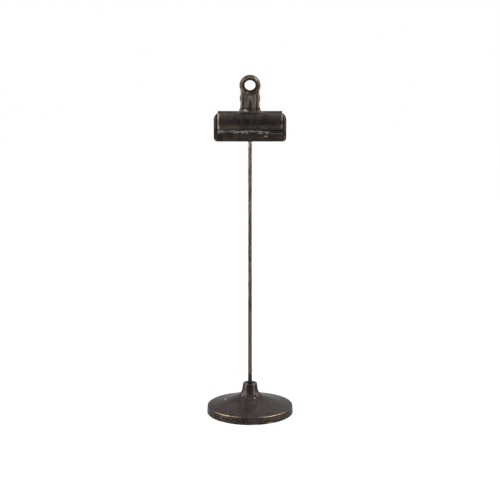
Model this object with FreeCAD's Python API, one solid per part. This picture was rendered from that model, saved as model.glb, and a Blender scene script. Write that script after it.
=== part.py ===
import FreeCAD, Part
import math
import os

# Memo clip holder: a spring clip of two stamped plates and a rolled spring barrel,
# brazed to the top of an upright rod that stands in a round cast base.
# Millimetres, Z up, front towards -Y, origin on the table under the centre of the base.

# Base casting
base_d = 74.4              # diameter on the table
rim_h = 6.5                # height of the rim wall
rim_draft = 0.45           # how far the rim wall leans in over its height
rim_round = 0.6            # rounding of the rim's upper edge
foot_chamfer = 0.4         # broken edge on the table
cone_mid_r = 22.0          # where the two slopes of the top meet
cone_mid_rise = 3.2        # height of that point above the rim
cone_bend_r = 45.0         # hollow curve between the two slopes
cone_band_count = 1        # flat bands along that curve
collar_foot_d = 14.8       # where the top turns up into the collar
collar_foot_rise = 6.5     # height of that point above the middle one
collar_foot_r = 8.5        # hollow curve round the foot of the collar
collar_top_z = 26.3
collar_top_d = 12.0
collar_round = 1.0
edge_band_count = 2        # flat bands that make up a small rounding
foot_band_count = 4        # flat bands round the foot of the collar
land_width = 3.6           # width of the ring that rests on the table
recess_roof = 3.4          # thickness at the rim above the recess underneath
pocket_d = 16.0            # pocket for the nut in the middle of the recess
seat_z = 6.0               # height of the pocket's roof, on which the washer seats
cut_past = 1.0             # how far a cutter runs past the face that it opens

# Rod and its fastening
rod_d = 3.2
rod_tip = 0.3              # broken edge at the lower end
rod_top_gap = 0.9          # between the rod's end and the rear lip above it
rod_end_z = 2.0            # lower end, clear of the table
shoulder_d = 3.9
shoulder_depth = 3.9       # how deep the shoulder sits in the collar
shoulder_rise = 0.7        # how far it stands out of the collar
shoulder_taper = 1.9       # length over which it narrows to the rod
collar_gap = 0.65          # free ring round the shoulder in the collar's mouth
thread_clearance = 0.02
washer_d = 7.0
washer_t = 0.5
washer_clearance = 0.1
nut_af = 5.5               # across the flats
nut_t = 2.4

# Clip plates, both of the same stamping
sheet_t = 0.8
jaw_width = 60.2
jaw_bottom_z = 234.4
jaw_h = 24.0               # height of the flat jaw up to its shoulders
jaw_corner_r = 3.2
shoulder_corner_r = 6.0
jaw_gap = 0.1              # between the closed jaws
neck_rise = 0.6            # straight piece between the shoulders and the bend
bend_r = 2.8               # outer radius of the bend, the side on which the plates roll
handle_lean_deg = 17.5
neck_foot_w = 18.3
neck_w = 15.2
neck_flare_h = 7.0
lug_w = 0.8                # how far the side lugs stand out of the neck
lug_low = 7.2
lug_high = 14.3
ring_h = 22.1              # from the bend to the centre of the hanging hole
ring_d = 17.1
ring_hole_d = 9.2
ring_fillet = 6.0          # radius between the neck and the ring

# Pressed beads on the handle
bead_r = 2.2               # radius of the round back of a bead
bead_h = 0.7
bead_band_count = 5        # flat bands across the bead round the hole
bead_inset = 1.7           # from the neck's edge to the middle of the side beads
bead_low = 2.6             # height above the bend at which the side beads begin
bead_splay = 0.5           # how far the side beads spread at their foot
taper_len = 1.2            # tapered foot of a bead or rib, as shares of its radius
taper_tip = 0.25
rib_r = 1.3                # the two ribs that spread towards the foot of the neck
rib_h = 0.5
rib_spread = 2.9
rib_low = 1.8
rib_high = 15.2            # the ribs run out into the ring's bead here
rib_apex = 0.4

# Spring barrel
barrel_d = 16.8
barrel_len = 53.2
barrel_seat = 0.4          # between the jaw's shoulders and the inside of the barrel
lip_len = 1.5              # straight part of the lips below their bend
lip_bend_r = 1.3           # middle radius of the bend between barrel and lip
lip_clearance = 0.03
slot_clearance = 0.5       # beside the neck
slot_depth = 3.6
slot_corner_r = 0.6

# Braze between rod and rear jaw
braze_r = 2.1
braze_reach = 0.35         # how far it sinks below the jaw's edge before its round end
braze_gap = 0.02           # between rod and jaw
braze_setback = 0.75       # from the jaw's back face to the middle of the braze
braze_tip = 1.05           # length of its tapered ends
braze_blunt_r = 1.26

# Derived values
half_gap = jaw_gap / 2.0
shoulder_z = jaw_bottom_z + jaw_h
bend_z = shoulder_z + neck_rise
barrel_z = shoulder_z + barrel_seat - (barrel_d / 2.0 - sheet_t)
plate_back = half_gap + sheet_t
clip_y = -(plate_back + braze_gap + rod_d / 2.0)
lip_y = plate_back + lip_clearance + sheet_t / 2.0
lip_bend_y = lip_y + lip_bend_r
roll_r = (barrel_d - sheet_t) / 2.0
lip_bend_z = barrel_z - math.sqrt((roll_r + lip_bend_r) ** 2 - lip_bend_y ** 2)
lip_toe_z = lip_bend_z - lip_len
rod_top_z = lip_toe_z - rod_top_gap


def vec(x, y, z):
    return FreeCAD.Vector(x, y, z)


def line(a, b):
    return Part.makeLine(a, b)


def toward(start, end, distance):
    step = end.sub(start)
    step.normalize()
    return start.add(step.multiply(distance))


def chords(centre, start, end, bands):
    """Points of a small arc from start to end, drawn as flat bands."""
    a = start.sub(centre)
    b = end.sub(centre)
    whole = a.getAngle(b)
    points = []
    for i in range(1, bands):
        part = whole * i / bands
        arm = vec(a.x, a.y, a.z).multiply(math.sin(whole - part) / math.sin(whole))
        points.append(centre.add(arm).add(vec(b.x, b.y, b.z).multiply(math.sin(part) / math.sin(whole))))
    return points


def banded(before, corner, after, radius, bands):
    """Replaces a corner by flat bands round a small radius; all entries are (point, 0)."""
    turn = before.sub(corner).getAngle(after.sub(corner))
    run = radius / math.tan(turn / 2.0)
    first = toward(corner, before, run)
    last = toward(corner, after, run)
    centre = toward(corner, first.add(last).multiply(0.5), radius / math.sin(turn / 2.0))
    return [(point, 0) for point in [first] + chords(centre, first, last, bands) + [last]]


def rounded_outline(corners):
    """Closed flat wire through (point, radius) corners, each with its own rounding."""
    count = len(corners)
    spans = []
    for i in range(count):
        point, radius = corners[i]
        before = corners[i - 1][0]
        after = corners[(i + 1) % count][0]
        if radius <= 0:
            spans.append((point, None, point))
            continue
        turn = before.sub(point).getAngle(after.sub(point))
        run = radius / math.tan(turn / 2.0)
        first = toward(point, before, run)
        last = toward(point, after, run)
        middle = first.add(last).multiply(0.5)
        centre = toward(point, middle, radius / math.sin(turn / 2.0))
        crown = toward(centre, point, radius)
        spans.append((first, crown, last))
    edges = []
    for i in range(count):
        first, crown, last = spans[i]
        if crown is not None:
            edges.append(Part.Arc(first, crown, last).toShape())
        following = spans[(i + 1) % count][0]
        if last.distanceToPoint(following) > 1e-6:
            edges.append(line(last, following))
    return Part.Wire(Part.__sortEdges__(edges))


def turned(wire):
    return Part.Face(wire).revolve(vec(0, 0, 0), vec(0, 0, 1), 360)


def base_casting():
    foot = vec(base_d / 2.0, 0, foot_chamfer)
    rim = vec(base_d / 2.0 - rim_draft, 0, rim_h)
    cone_mid = vec(cone_mid_r, 0, rim_h + cone_mid_rise)
    collar_foot = vec(collar_foot_d / 2.0, 0, cone_mid.z + collar_foot_rise)
    collar_edge = vec(collar_top_d / 2.0, 0, collar_top_z)
    top = vec(0, 0, collar_top_z)
    corners = [(vec(0, 0, 0), 0), (vec(base_d / 2.0 - foot_chamfer, 0, 0), 0), (foot, 0)]
    corners += banded(foot, rim, cone_mid, rim_round, edge_band_count)
    corners += banded(rim, cone_mid, collar_foot, cone_bend_r, cone_band_count)
    corners += banded(cone_mid, collar_foot, collar_edge, collar_foot_r, foot_band_count)
    corners += banded(collar_foot, collar_edge, top, collar_round, edge_band_count)
    corners.append((top, 0))
    return turned(rounded_outline(corners)).cut(base_recess()).cut(rod_bore())


def base_recess():
    """Shallow recess under the base, with a deeper pocket for the nut in its middle."""
    recess = Part.makeCylinder(base_d / 2.0 - land_width, rim_h - recess_roof + cut_past, vec(0, 0, -cut_past))
    pocket = Part.makeCylinder(pocket_d / 2.0, seat_z + cut_past, vec(0, 0, -cut_past))
    return recess.fuse(pocket)


def rod_bore():
    bore_r = rod_d / 2.0 + thread_clearance
    mouth_r = shoulder_d / 2.0 + collar_gap
    mouth_z = collar_top_z - shoulder_depth
    bore = Part.makeCylinder(bore_r, collar_top_z, vec(0, 0, 0))
    mouth = Part.makeCylinder(mouth_r, shoulder_depth + cut_past, vec(0, 0, mouth_z))
    return bore.fuse(mouth)


def rod():
    radius = rod_d / 2.0
    shoulder_r = shoulder_d / 2.0
    shoulder_foot_z = collar_top_z - shoulder_depth
    swell_z = collar_top_z + shoulder_rise
    corners = [
        (vec(0, 0, rod_end_z), 0),
        (vec(radius - rod_tip, 0, rod_end_z), 0),
        (vec(radius, 0, rod_end_z + rod_tip), 0),
        (vec(radius, 0, shoulder_foot_z), 0),
        (vec(shoulder_r, 0, shoulder_foot_z), 0),
        (vec(shoulder_r, 0, swell_z), 0),
        (vec(radius, 0, swell_z + shoulder_taper), 0),
        (vec(radius, 0, rod_top_z), 0),
        (vec(0, 0, rod_top_z), 0),
    ]
    return turned(rounded_outline(corners))


def washer():
    low = seat_z - washer_t
    ring = Part.makeCylinder(washer_d / 2.0, washer_t, vec(0, 0, low))
    hole = Part.makeCylinder(rod_d / 2.0 + washer_clearance, washer_t, vec(0, 0, low))
    return ring.cut(hole)


def nut():
    low = seat_z - washer_t - nut_t
    corner_r = nut_af / math.sqrt(3.0)
    points = []
    for i in range(7):
        angle = math.radians(60.0 * i)
        points.append(vec(corner_r * math.cos(angle), corner_r * math.sin(angle), low))
    prism = Part.Face(Part.makePolygon(points)).extrude(vec(0, 0, nut_t))
    hole = Part.makeCylinder(rod_d / 2.0 + thread_clearance, nut_t, vec(0, 0, low))
    return prism.cut(hole)


def jaw_sheet():
    half = jaw_width / 2.0
    neck = neck_foot_w / 2.0
    fillet = slot_clearance * 0.9
    corners = [
        (vec(half, -half_gap, jaw_bottom_z), jaw_corner_r),
        (vec(half, -half_gap, shoulder_z), shoulder_corner_r),
        (vec(neck, -half_gap, shoulder_z), fillet),
        (vec(neck, -half_gap, bend_z), 0),
        (vec(-neck, -half_gap, bend_z), 0),
        (vec(-neck, -half_gap, shoulder_z), fillet),
        (vec(-half, -half_gap, shoulder_z), shoulder_corner_r),
        (vec(-half, -half_gap, jaw_bottom_z), jaw_corner_r),
    ]
    return Part.Face(rounded_outline(corners)).extrude(vec(0, -sheet_t, 0))


def handle_outline():
    """Handle blank, drawn upright above the bend in the plane of the closed jaws."""
    y = -half_gap
    foot = neck_foot_w / 2.0
    side = neck_w / 2.0
    ring_r = ring_d / 2.0
    ring_z = bend_z + ring_h
    drop = math.sqrt((ring_r + ring_fillet) ** 2 - (side + ring_fillet) ** 2)
    scale = ring_r / (ring_r + ring_fillet)
    touch = vec((side + ring_fillet) * scale, y, ring_z - drop * scale)
    hollow = vec(side + ring_fillet, y, ring_z - drop)
    hollow_mid = toward(hollow, vec(side, y, ring_z - drop).add(touch).multiply(0.5), ring_fillet)
    flare_mid = vec(side + (foot - side) * 0.25, y, bend_z + neck_flare_h / 2.0)
    lug_mid = vec(side + lug_w, y, bend_z + (lug_low + lug_high) / 2.0)
    right = [
        Part.Arc(vec(foot, y, bend_z), flare_mid, vec(side, y, bend_z + neck_flare_h)).toShape(),
        line(vec(side, y, bend_z + neck_flare_h), vec(side, y, bend_z + lug_low)),
        Part.Arc(vec(side, y, bend_z + lug_low), lug_mid, vec(side, y, bend_z + lug_high)).toShape(),
        line(vec(side, y, bend_z + lug_high), vec(side, y, ring_z - drop)),
        Part.Arc(vec(side, y, ring_z - drop), hollow_mid, touch).toShape(),
    ]
    left = [edge.mirror(vec(0, 0, 0), vec(1, 0, 0)) for edge in right]
    crown = Part.Arc(touch, vec(0, y, ring_z + ring_r), vec(-touch.x, y, touch.z)).toShape()
    sole = line(vec(-foot, y, bend_z), vec(foot, y, bend_z))
    return Part.Wire(Part.__sortEdges__(right + left + [crown, sole]))


def round_bar(low, high, radius, depth):
    """Round bar with a tapered foot between two (x, height) points, its middle below the outer face."""
    y = -(half_gap + sheet_t) + depth
    foot = vec(low[0], y, bend_z + low[1])
    top = vec(high[0], y, bend_z + high[1])
    length = foot.distanceToPoint(top)
    bar = Part.makeCylinder(radius, length, foot, top.sub(foot))
    return bar.fuse(Part.makeCone(radius, radius * taper_tip, radius * taper_len, foot, foot.sub(top)))


def bead_ends():
    side = neck_w / 2.0 - bead_inset
    ring_mid = (ring_d + ring_hole_d) / 4.0
    join = ring_h - math.sqrt(ring_mid ** 2 - side ** 2)
    return [((sign * (side + bead_splay), bead_low), (sign * side, join)) for sign in (1, -1)]


def rib_ends():
    return [((sign * rib_spread, rib_low), (sign * rib_apex, rib_high)) for sign in (1, -1)]


def ring_bead():
    """Bead round the hanging hole, turned from flat bands."""
    ring_z = bend_z + ring_h
    ring_mid = (ring_d + ring_hole_d) / 4.0
    centre = vec(ring_mid, -half_gap - sheet_t + bead_r - bead_h, ring_z)
    half = math.sqrt(bead_r ** 2 - (bead_r - bead_h) ** 2)
    skin_y = -half_gap - sheet_t
    first = vec(ring_mid - half, skin_y, ring_z)
    last = vec(ring_mid + half, skin_y, ring_z)
    arc = [first] + chords(centre, first, last, bead_band_count) + [last]
    inside = [vec(last.x, skin_y + sheet_t / 3.0, ring_z), vec(first.x, skin_y + sheet_t / 3.0, ring_z), first]
    return Part.Face(Part.makePolygon(arc + inside)).revolve(vec(0, skin_y, ring_z), vec(0, 1, 0), 360)


def ring_channel():
    """Hollow back of the ring's bead, with sloping sides."""
    y = -half_gap
    ring_mid = (ring_d + ring_hole_d) / 4.0
    wide = math.sqrt((bead_r - sheet_t) ** 2 - (bead_r - bead_h - sheet_t) ** 2)
    narrow = wide / 2.0
    ring_z = bend_z + ring_h
    profile = Part.makePolygon([
        vec(ring_mid - wide, y + sheet_t, ring_z),
        vec(ring_mid - wide, y, ring_z),
        vec(ring_mid - narrow, y - bead_h, ring_z),
        vec(ring_mid + narrow, y - bead_h, ring_z),
        vec(ring_mid + wide, y, ring_z),
        vec(ring_mid + wide, y + sheet_t, ring_z),
        vec(ring_mid - wide, y + sheet_t, ring_z),
    ])
    return Part.Face(profile).revolve(vec(0, y, ring_z), vec(0, 1, 0), 360)


def joined(shapes):
    whole = shapes[0]
    for shape in shapes[1:]:
        whole = whole.fuse(shape)
    return whole


def handle():
    blank = Part.Face(handle_outline()).extrude(vec(0, -sheet_t, 0))
    bead_depth = bead_r - bead_h
    rib_depth = rib_r - rib_h
    beads = []
    hollows = [ring_channel()]
    for low, high in bead_ends():
        beads.append(round_bar(low, high, bead_r, bead_depth))
        hollows.append(round_bar(low, high, bead_r - sheet_t, bead_depth))
    for low, high in rib_ends():
        beads.append(round_bar(low, high, rib_r, rib_depth))
    reach = 2.0 * (ring_h + ring_d)
    skin_y = -half_gap - sheet_t * 2.0 / 3.0
    in_front = Part.makeBox(reach, reach, reach, vec(-reach / 2.0, skin_y - reach, bend_z))
    relief = joined(beads).common(in_front).fuse(ring_bead())
    ring_z = bend_z + ring_h
    hole = Part.makeCylinder(ring_hole_d / 2.0, sheet_t, vec(0, -half_gap, ring_z), vec(0, -1, 0))
    return blank.fuse(relief).cut(joined(hollows)).cut(hole)


def clip_plate():
    """Front plate about the closed jaws' middle plane, which lies on y = 0 here."""
    jaw = jaw_sheet()
    pivot = vec(0, -half_gap - bend_r, bend_z)
    sole = [f for f in jaw.Faces if abs(f.BoundBox.ZMin - bend_z) < 1e-4][0]
    bend = sole.revolve(pivot, vec(1, 0, 0), handle_lean_deg)
    upper = handle()
    upper.rotate(pivot, vec(1, 0, 0), handle_lean_deg)
    return jaw.fuse(bend).fuse(upper).removeSplitter()


def front_plate():
    plate = clip_plate()
    plate.translate(vec(0, clip_y, 0))
    return plate


def rear_plate():
    plate = clip_plate().mirror(vec(0, 0, 0), vec(0, 1, 0))
    plate.translate(vec(0, clip_y, 0))
    return plate


def barrel():
    outer = roll_r + sheet_t / 2.0
    inner = roll_r - sheet_t / 2.0
    half_angle = math.atan2(lip_bend_y, barrel_z - lip_bend_z)

    def on_roll(radius, angle):
        return vec(0, radius * math.sin(angle), barrel_z - radius * math.cos(angle))

    def on_bend(radius, angle):
        return vec(0, lip_bend_y - radius * math.sin(angle), lip_bend_z + radius * math.cos(angle))

    upright = math.pi / 2.0
    swing = (half_angle + upright) / 2.0
    wide = lip_bend_r + sheet_t / 2.0
    tight = lip_bend_r - sheet_t / 2.0
    toe_out = vec(0, lip_y + sheet_t / 2.0, lip_toe_z)
    toe_in = vec(0, lip_y - sheet_t / 2.0, lip_toe_z)
    right = [
        Part.Arc(on_bend(tight, half_angle), on_bend(tight, swing), on_bend(tight, upright)).toShape(),
        line(on_bend(tight, upright), toe_out),
        line(toe_out, toe_in),
        line(toe_in, on_bend(wide, upright)),
        Part.Arc(on_bend(wide, upright), on_bend(wide, swing), on_bend(wide, half_angle)).toShape(),
    ]
    left = [edge.mirror(vec(0, 0, 0), vec(0, 1, 0)) for edge in right]
    rolls = []
    for radius in (outer, inner):
        start = on_roll(radius, half_angle)
        end = vec(0, -start.y, start.z)
        rolls.append(Part.Arc(start, vec(0, 0, barrel_z + radius), end).toShape())
    wire = Part.Wire(Part.__sortEdges__(right + left + rolls))
    tube = Part.Face(wire).extrude(vec(barrel_len, 0, 0))
    tube.translate(vec(-barrel_len / 2.0, 0, 0))
    tube = tube.cut(handle_slot())
    tube.translate(vec(0, clip_y, 0))
    return tube


def handle_slot():
    half_x = neck_foot_w / 2.0 + slot_clearance
    half_y = slot_depth / 2.0
    corners = [
        (vec(half_x, -half_y, barrel_z), slot_corner_r),
        (vec(half_x, half_y, barrel_z), slot_corner_r),
        (vec(-half_x, half_y, barrel_z), slot_corner_r),
        (vec(-half_x, -half_y, barrel_z), slot_corner_r),
    ]
    return Part.Face(rounded_outline(corners)).extrude(vec(0, 0, barrel_d))


def braze():
    low = jaw_bottom_z - braze_reach
    high = rod_top_z - braze_r
    middle_y = clip_y + plate_back + braze_setback
    drop = Part.makeCylinder(braze_r, high - low, vec(0, middle_y, low))
    drop = drop.fuse(Part.makeCone(braze_blunt_r, braze_r, braze_tip, vec(0, middle_y, low - braze_tip)))
    drop = drop.fuse(Part.makeCone(braze_r, braze_blunt_r, braze_tip, vec(0, middle_y, high)))
    span = 4.0 * braze_r
    before = vec(-span / 2.0, clip_y + half_gap - span, low - span)
    drop = drop.cut(Part.makeBox(span, span, rod_top_z - low + 2.0 * span, before))
    jaw = Part.makeBox(span, span, span + rod_top_z, vec(-span / 2.0, clip_y + plate_back - span, jaw_bottom_z))
    shaft = Part.makeCylinder(rod_d / 2.0, rod_top_z, vec(0, 0, 0))
    return drop.cut(jaw).cut(shaft).removeSplitter()


def main():
    parts = {
        "base_casting": base_casting(),
        "rod": rod(),
        "washer": washer(),
        "nut": nut(),
        "rear_plate": rear_plate(),
        "front_plate": front_plate(),
        "barrel": barrel(),
        "braze": braze(),
    }
    os.makedirs("parts", exist_ok=True)
    for node, shape in parts.items():
        if len(shape.Solids) != 1 or not shape.isValid():
            raise ValueError("{} has {} solids, valid {}".format(node, len(shape.Solids), shape.isValid()))
        solid = shape.Solids[0]
        solid.exportStep("parts/" + node + ".step")
        box = solid.BoundBox
        print("{:13s} volume {:9.1f}  x {:7.2f} {:7.2f}  y {:7.2f} {:7.2f}  z {:7.2f} {:7.2f}".format(
            node, solid.Volume, box.XMin, box.XMax, box.YMin, box.YMax, box.ZMin, box.ZMax))


main()
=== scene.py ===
import bpy
import bmesh
import math
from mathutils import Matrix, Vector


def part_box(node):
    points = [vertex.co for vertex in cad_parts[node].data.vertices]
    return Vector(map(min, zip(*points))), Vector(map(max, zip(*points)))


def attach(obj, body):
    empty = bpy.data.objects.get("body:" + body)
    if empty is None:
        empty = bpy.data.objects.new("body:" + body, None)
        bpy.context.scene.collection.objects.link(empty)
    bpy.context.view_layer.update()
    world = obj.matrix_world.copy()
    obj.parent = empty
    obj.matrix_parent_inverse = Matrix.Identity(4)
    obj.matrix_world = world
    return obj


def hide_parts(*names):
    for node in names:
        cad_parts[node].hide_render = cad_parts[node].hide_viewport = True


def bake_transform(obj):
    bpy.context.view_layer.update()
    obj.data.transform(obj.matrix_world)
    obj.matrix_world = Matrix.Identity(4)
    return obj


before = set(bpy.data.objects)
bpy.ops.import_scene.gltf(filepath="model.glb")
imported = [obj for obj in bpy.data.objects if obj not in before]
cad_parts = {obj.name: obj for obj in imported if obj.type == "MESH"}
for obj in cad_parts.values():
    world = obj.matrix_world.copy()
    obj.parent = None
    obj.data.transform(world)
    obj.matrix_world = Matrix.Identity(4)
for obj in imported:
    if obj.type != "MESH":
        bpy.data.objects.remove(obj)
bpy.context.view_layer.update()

from types import SimpleNamespace
from mathutils import Vector, noise
from mathutils.geometry import delaunay_2d_cdt

MM = 0.001
scene = bpy.context.scene
scene.view_settings.view_transform = "Standard"


# Sizes of the solids, in millimetres, read from the frame
def node_box(node):
    low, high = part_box(node)
    return low / MM, high / MM


front_low, front_high = node_box("front_plate")
rear_low, _ = node_box("rear_plate")
barrel_low, barrel_high = node_box("barrel")
_, base_high = node_box("base_casting")
rod_low, rod_high = node_box("rod")

CLIP_Y = (front_high.y + rear_low.y) / 2
HALF_GAP = (rear_low.y - front_high.y) / 2
JAW_Z = front_low.z
JAW_HALF = front_high.x
BARREL_R = (barrel_high.y - barrel_low.y) / 2
BARREL_HALF = barrel_high.x
BARREL_Z = barrel_high.z - BARREL_R
LIP_TOE = barrel_low.z
BASE_R = base_high.x
COLLAR_Z = base_high.z
ROD_TOP = rod_high.z
ROD_END = rod_low.z
SHOULDER_R = rod_high.x

# Sizes within the solids, in millimetres, which their boxes don't give
SHEET = 0.8                      # thickness of the plates and of the barrel
ROD_R = 1.6
SHOULDER_FOOT = COLLAR_Z - 3.9   # seat of the rod's shoulder in the collar
SHOULDER_TOP = COLLAR_Z + 0.7    # where the shoulder starts to narrow
SHOULDER_TAPER = 1.9             # length over which it narrows to the rod


# Geometry helpers
def rounded(corners, steps=8):
    """Closed list of 2D points through (x, y, radius) corners."""
    out = []
    n = len(corners)
    for i in range(n):
        x, y, r = corners[i]
        if r <= 0:
            out.append((x, y))
            continue
        px, py, _ = corners[i - 1]
        nx, ny, _ = corners[(i + 1) % n]
        a = Vector((px - x, py - y)).normalized()
        b = Vector((nx - x, ny - y)).normalized()
        turn = a.angle(b)
        run = r / math.tan(turn / 2)
        centre = Vector((x, y)) + (a + b).normalized() * (r / math.sin(turn / 2))
        first = Vector((x, y)) + a * run - centre
        last = Vector((x, y)) + b * run - centre
        sweep = first.angle(last)
        for k in range(steps + 1):
            t = k / steps
            arm = (first * math.sin((1 - t) * sweep) + last * math.sin(t * sweep)) / math.sin(sweep)
            out.append(tuple(centre + arm))
    return out


def new_object(name, mesh):
    obj = bpy.data.objects.new(name, mesh)
    scene.collection.objects.link(obj)
    return obj


def mesh_from(name, verts, faces):
    """Mesh in metres from points in millimetres."""
    mesh = bpy.data.meshes.new(name)
    mesh.from_pydata([(x * MM, y * MM, z * MM) for x, y, z in verts], [], faces)
    mesh.update()
    return mesh


def clean_mesh(mesh):
    """Welds doubles, drops loose points and turns all faces outwards."""
    bm = bmesh.new()
    bm.from_mesh(mesh)
    bmesh.ops.remove_doubles(bm, verts=bm.verts, dist=1e-7)
    bmesh.ops.delete(bm, geom=[v for v in bm.verts if not v.link_faces], context="VERTS")
    bmesh.ops.recalc_face_normals(bm, faces=bm.faces)
    bm.to_mesh(mesh)
    bm.free()


def thicken(obj, edge_width, segments):
    """Gives a middle surface the sheet's thickness and breaks its edges."""
    thick = obj.modifiers.new("thickness", "SOLIDIFY")
    thick.thickness = SHEET * MM
    thick.offset = 0.0
    soft = obj.modifiers.new("edges", "BEVEL")
    soft.width = edge_width * MM
    soft.segments = segments
    soft.limit_method = "ANGLE"
    soft.angle_limit = math.radians(52)
    bpy.context.view_layer.update()
    graph = bpy.context.evaluated_depsgraph_get()
    mesh = bpy.data.meshes.new_from_object(obj.evaluated_get(graph))
    obj.modifiers.clear()
    obj.data = mesh


def smooth(obj, angle):
    """Shades an object smooth, apart from edges that turn by more than the angle."""
    for p in obj.data.polygons:
        p.use_smooth = True
    bm = bmesh.new()
    bm.from_mesh(obj.data)
    limit = math.radians(angle)
    for e in bm.edges:
        if len(e.link_faces) == 2:
            e.smooth = e.calc_face_angle(0) < limit
    bm.to_mesh(obj.data)
    bm.free()


def lathe(name, profile, segments, closed, wobble=None):
    """Turns a profile of (radius, z) about Z; wobble(angle, z, radius) is added to each radius."""
    verts, faces = [], []
    n = len(profile)
    for i in range(segments):
        a = 2 * math.pi * i / segments
        for r, z in profile:
            dr = wobble(a, z, r) if wobble else 0
            verts.append(((r + dr) * math.cos(a), (r + dr) * math.sin(a), z))
    rows = n if closed else n - 1
    for i in range(segments):
        j = (i + 1) % segments
        for k in range(rows):
            m = (k + 1) % n
            faces.append((i * n + k, j * n + k, j * n + m, i * n + m))
    mesh = mesh_from(name, verts, faces)
    clean_mesh(mesh)
    return new_object(name, mesh)


# Shader helpers: lengths in a shader are in metres
class Graph:
    """A shader tree with short calls for its nodes."""

    def __init__(self, tree, out_kind):
        self.tree = tree
        self.tree.nodes.clear()
        self.out = self.tree.nodes.new(out_kind)
        self.coords = self.tree.nodes.new("ShaderNodeTexCoord").outputs
        self.obj = self.coords["Object"]

    def plug(self, socket, value):
        if isinstance(value, bpy.types.NodeSocket):
            self.tree.links.new(value, socket)
        elif value is not None:
            if isinstance(value, tuple) and len(value) == 3 and socket.type == "RGBA":
                value = (*value, 1.0)
            socket.default_value = value

    def node(self, kind, inputs=(), **settings):
        n = self.tree.nodes.new(kind)
        for key, value in settings.items():
            setattr(n, key, value)
        for key, value in inputs:
            self.plug(n.inputs[key], value)
        return n

    def math(self, op, a, b=0.0):
        return self.node("ShaderNodeMath", [(0, a), (1, b)], operation=op).outputs[0]

    def plus(self, a, b):
        return self.math("ADD", a, b)

    def minus(self, a, b):
        return self.math("SUBTRACT", a, b)

    def size(self, a):
        return self.math("ABSOLUTE", a)

    def times(self, *values):
        out = values[0]
        for value in values[1:]:
            out = self.math("MULTIPLY", out, value)
        return out

    def most(self, *values):
        out = values[0]
        for value in values[1:]:
            out = self.math("MAXIMUM", out, value)
        return out

    def length(self, a, b):
        return self.math("SQRT", self.plus(self.times(a, a), self.times(b, b)))

    def mix(self, factor, a, b):
        return self.node("ShaderNodeMix", [(0, factor), (6, a), (7, b)], data_type="RGBA").outputs[2]

    def tint(self, mask, pair, towards):
        """A mottle's two colours, mixed towards another pair where the mask is 1."""
        return self.mix(mask, pair[0], towards[0]), self.mix(mask, pair[1], towards[1])

    def noise(self, vector, scale, detail=3.0, rough=0.55):
        inputs = [("Vector", vector), ("Scale", scale), ("Detail", detail), ("Roughness", rough)]
        return self.node("ShaderNodeTexNoise", inputs).outputs["Fac"]

    def voronoi(self, vector, scale):
        inputs = [("Vector", vector), ("Scale", scale)]
        return self.node("ShaderNodeTexVoronoi", inputs).outputs["Distance"]

    def step(self, value, low, high):
        """0 at low, 1 at high, smooth between; low above high runs the other way."""
        inputs = [("Value", value), ("From Min", low), ("From Max", high)]
        return self.node("ShaderNodeMapRange", inputs, interpolation_type="SMOOTHSTEP").outputs["Result"]

    def near(self, value, centre, reach, soft):
        """1 within reach of centre, 0 from reach plus soft on."""
        return self.step(self.size(self.minus(value, centre)), reach + soft, reach)

    def spot(self, vector, place, reach):
        """1 round a point of the surface, 0 from reach on; the rim is ragged."""
        inputs = [(0, vector), (1, place)]
        away = self.node("ShaderNodeVectorMath", inputs, operation="DISTANCE").outputs["Value"]
        ragged = self.times(self.noise(vector, 900.0, 2.0), reach * 0.8)
        return self.step(self.plus(away, ragged), reach * 1.4, reach * 0.7)

    def stretch(self, vector, scale):
        return self.node("ShaderNodeMapping", [("Vector", vector), ("Scale", scale)]).outputs["Vector"]

    def split(self, vector):
        return self.node("ShaderNodeSeparateXYZ", [(0, vector)]).outputs

    def attribute(self, name, output="Fac"):
        return self.node("ShaderNodeAttribute", attribute_name=name).outputs[output]

    def bump(self, height, strength, distance):
        inputs = [("Height", height), ("Strength", strength), ("Distance", distance)]
        return self.node("ShaderNodeBump", inputs).outputs["Normal"]

    def surface(self, color, rough, metal, normal, edge_tint):
        """Ends a metal; edge_tint is the share of full mirror gloss that it shows at a grazing angle."""
        inputs = [("Base Color", color), ("Roughness", rough), ("Metallic", metal),
                  ("Specular IOR Level", 0.3), ("Normal", normal)]
        p = self.node("ShaderNodeBsdfPrincipled", inputs)
        p.inputs["Specular Tint"].default_value = (edge_tint, edge_tint, edge_tint, 1.0)
        self.tree.links.new(p.outputs[0], self.out.inputs["Surface"])


def new_material(name):
    """A material and the graph that fills it."""
    material = bpy.data.materials.new(name)
    material.use_nodes = True
    return material, Graph(material.node_tree, "ShaderNodeOutputMaterial")


# Patina: colours that all its surfaces share
LIGHT_SPECK = (0.120, 0.100, 0.090)
DARK_SPECK = (0.010, 0.008, 0.008)
PALE_FLECK = (0.20, 0.185, 0.165)


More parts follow.
